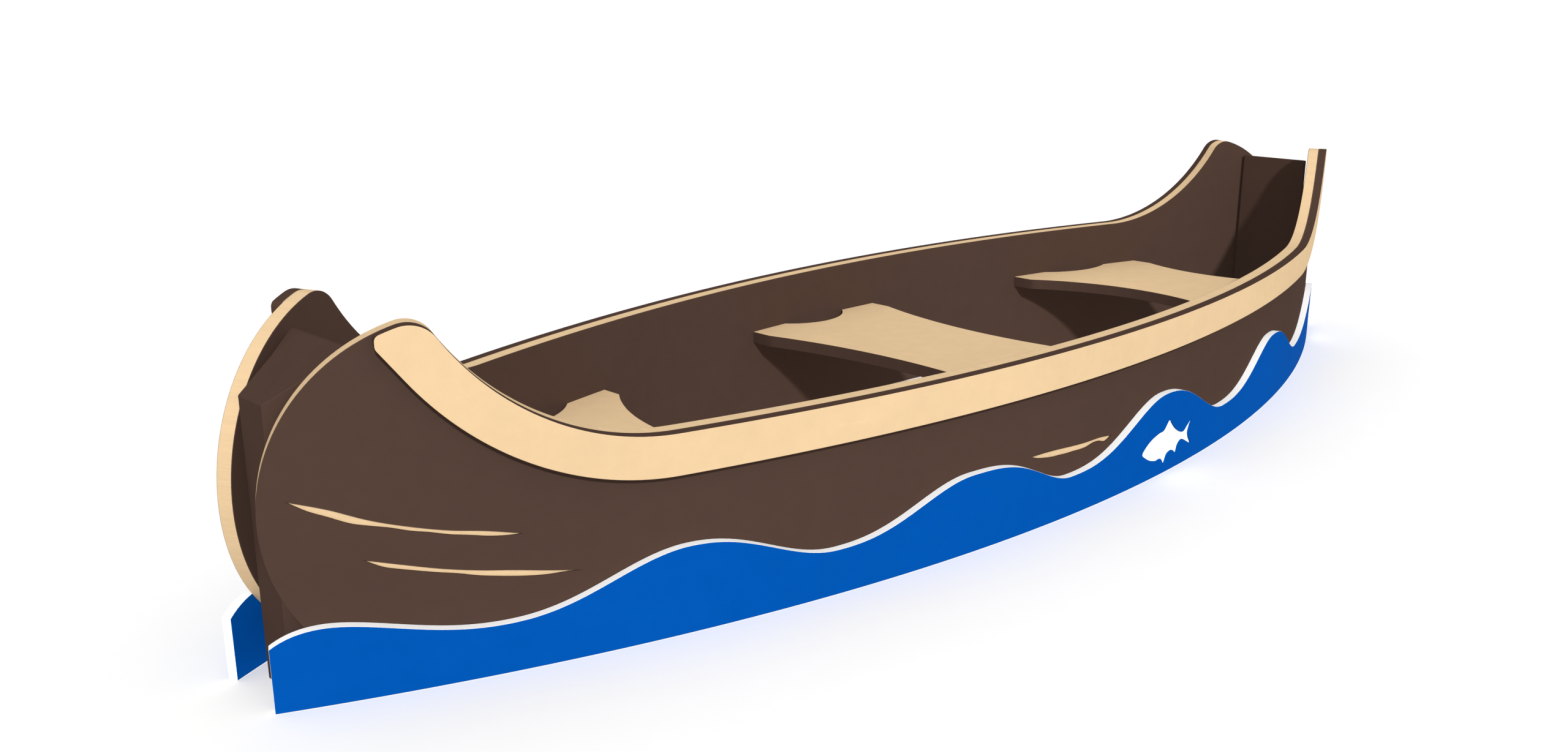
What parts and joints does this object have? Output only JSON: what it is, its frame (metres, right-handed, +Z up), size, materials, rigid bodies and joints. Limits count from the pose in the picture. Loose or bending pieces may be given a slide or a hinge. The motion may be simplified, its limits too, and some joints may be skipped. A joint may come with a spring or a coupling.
{
  "type": "playground canoe",
  "caption": "Fixed play canoe of bent plastic sheet sides, end posts and bench seats, open to the ground, with routed grooves and blue wave panels along its sides.",
  "frame": {"origin": "on the ground, below the middle of the canoe", "axes": "+X along the canoe towards the stern, +Y to the side away from the viewer in the picture, named starboard, +Z up"},
  "size_m": [3.0994, 0.86, 0.5214],
  "materials": {
    "brown_sheet": "two-colour polyethylene sheet, fine orange-peel texture, brown faces and tan cut edges and grooves; the end posts are brown throughout",
    "tan_sheet": "two-colour polyethylene sheet, fine orange-peel texture, tan faces and brown cut edges",
    "blue_sheet": "two-colour polyethylene sheet, fine orange-peel texture, blue faces and white cut edges and pockets",
    "zinc_steel": "zinc plated bent steel, satin",
    "stainless_screw": "bright stainless button-head screws"
  },
  "bodies": {
    "root": {"foot_bolt_bow_port": "stainless_screw", "foot_bolt_bow_starboard": "stainless_screw", "foot_bolt_stern_port": "stainless_screw", "foot_bolt_stern_starboard": "stainless_screw", "ground_foot_bow_port": "zinc_steel", "ground_foot_bow_starboard": "zinc_steel", "ground_foot_stern_port": "zinc_steel", "ground_foot_stern_starboard": "zinc_steel", "gunwale_trim_port": "tan_sheet", "gunwale_trim_starboard": "tan_sheet", "hull_port": "brown_sheet", "hull_starboard": "brown_sheet", "seat_angle_bow_port": "zinc_steel", "seat_angle_bow_starboard": "zinc_steel", "seat_angle_middle_port": "zinc_steel", "seat_angle_middle_starboard": "zinc_steel", "seat_angle_stern_port": "zinc_steel", "seat_angle_stern_starboard": "zinc_steel", "seat_bow": "tan_sheet", "seat_hull_screw_bow_port_aft": "stainless_screw", "seat_hull_screw_bow_port_fore": "stainless_screw", "seat_hull_screw_bow_starboard_aft": "stainless_screw", "seat_hull_screw_bow_starboard_fore": "stainless_screw", "seat_hull_screw_middle_port_aft": "stainless_screw", "seat_hull_screw_middle_port_fore": "stainless_screw", "seat_hull_screw_middle_starboard_aft": "stainless_screw", "seat_hull_screw_middle_starboard_fore": "stainless_screw", "seat_hull_screw_stern_port_aft": "stainless_screw", "seat_hull_screw_stern_port_fore": "stainless_screw", "seat_hull_screw_stern_starboard_aft": "stainless_screw", "seat_hull_screw_stern_starboard_fore": "stainless_screw", "seat_middle": "tan_sheet", "seat_screw_bow_port_aft": "stainless_screw", "seat_screw_bow_port_fore": "stainless_screw", "seat_screw_bow_starboard_aft": "stainless_screw", "seat_screw_bow_starboard_fore": "stainless_screw", "seat_screw_middle_port_aft": "stainless_screw", "seat_screw_middle_port_fore": "stainless_screw", "seat_screw_middle_starboard_aft": "stainless_screw", "seat_screw_middle_starboard_fore": "stainless_screw", "seat_screw_stern_port_aft": "stainless_screw", "seat_screw_stern_port_fore": "stainless_screw", "seat_screw_stern_starboard_aft": "stainless_screw", "seat_screw_stern_starboard_fore": "stainless_screw", "seat_stern": "tan_sheet", "stem_block_bow": "brown_sheet", "stem_block_stern": "brown_sheet", "stem_hull_screw_bow_port": "stainless_screw", "stem_hull_screw_bow_starboard": "stainless_screw", "stem_hull_screw_stern_port": "stainless_screw", "stem_hull_screw_stern_starboard": "stainless_screw", "stem_screw_bow": "stainless_screw", "stem_screw_stern": "stainless_screw", "stem_strap_bow": "zinc_steel", "stem_strap_stern": "zinc_steel", "wave_panel_port": "blue_sheet", "wave_panel_starboard": "blue_sheet", "wave_screw_port": "stainless_screw", "wave_screw_starboard": "stainless_screw"}
  },
  "joints": []
}
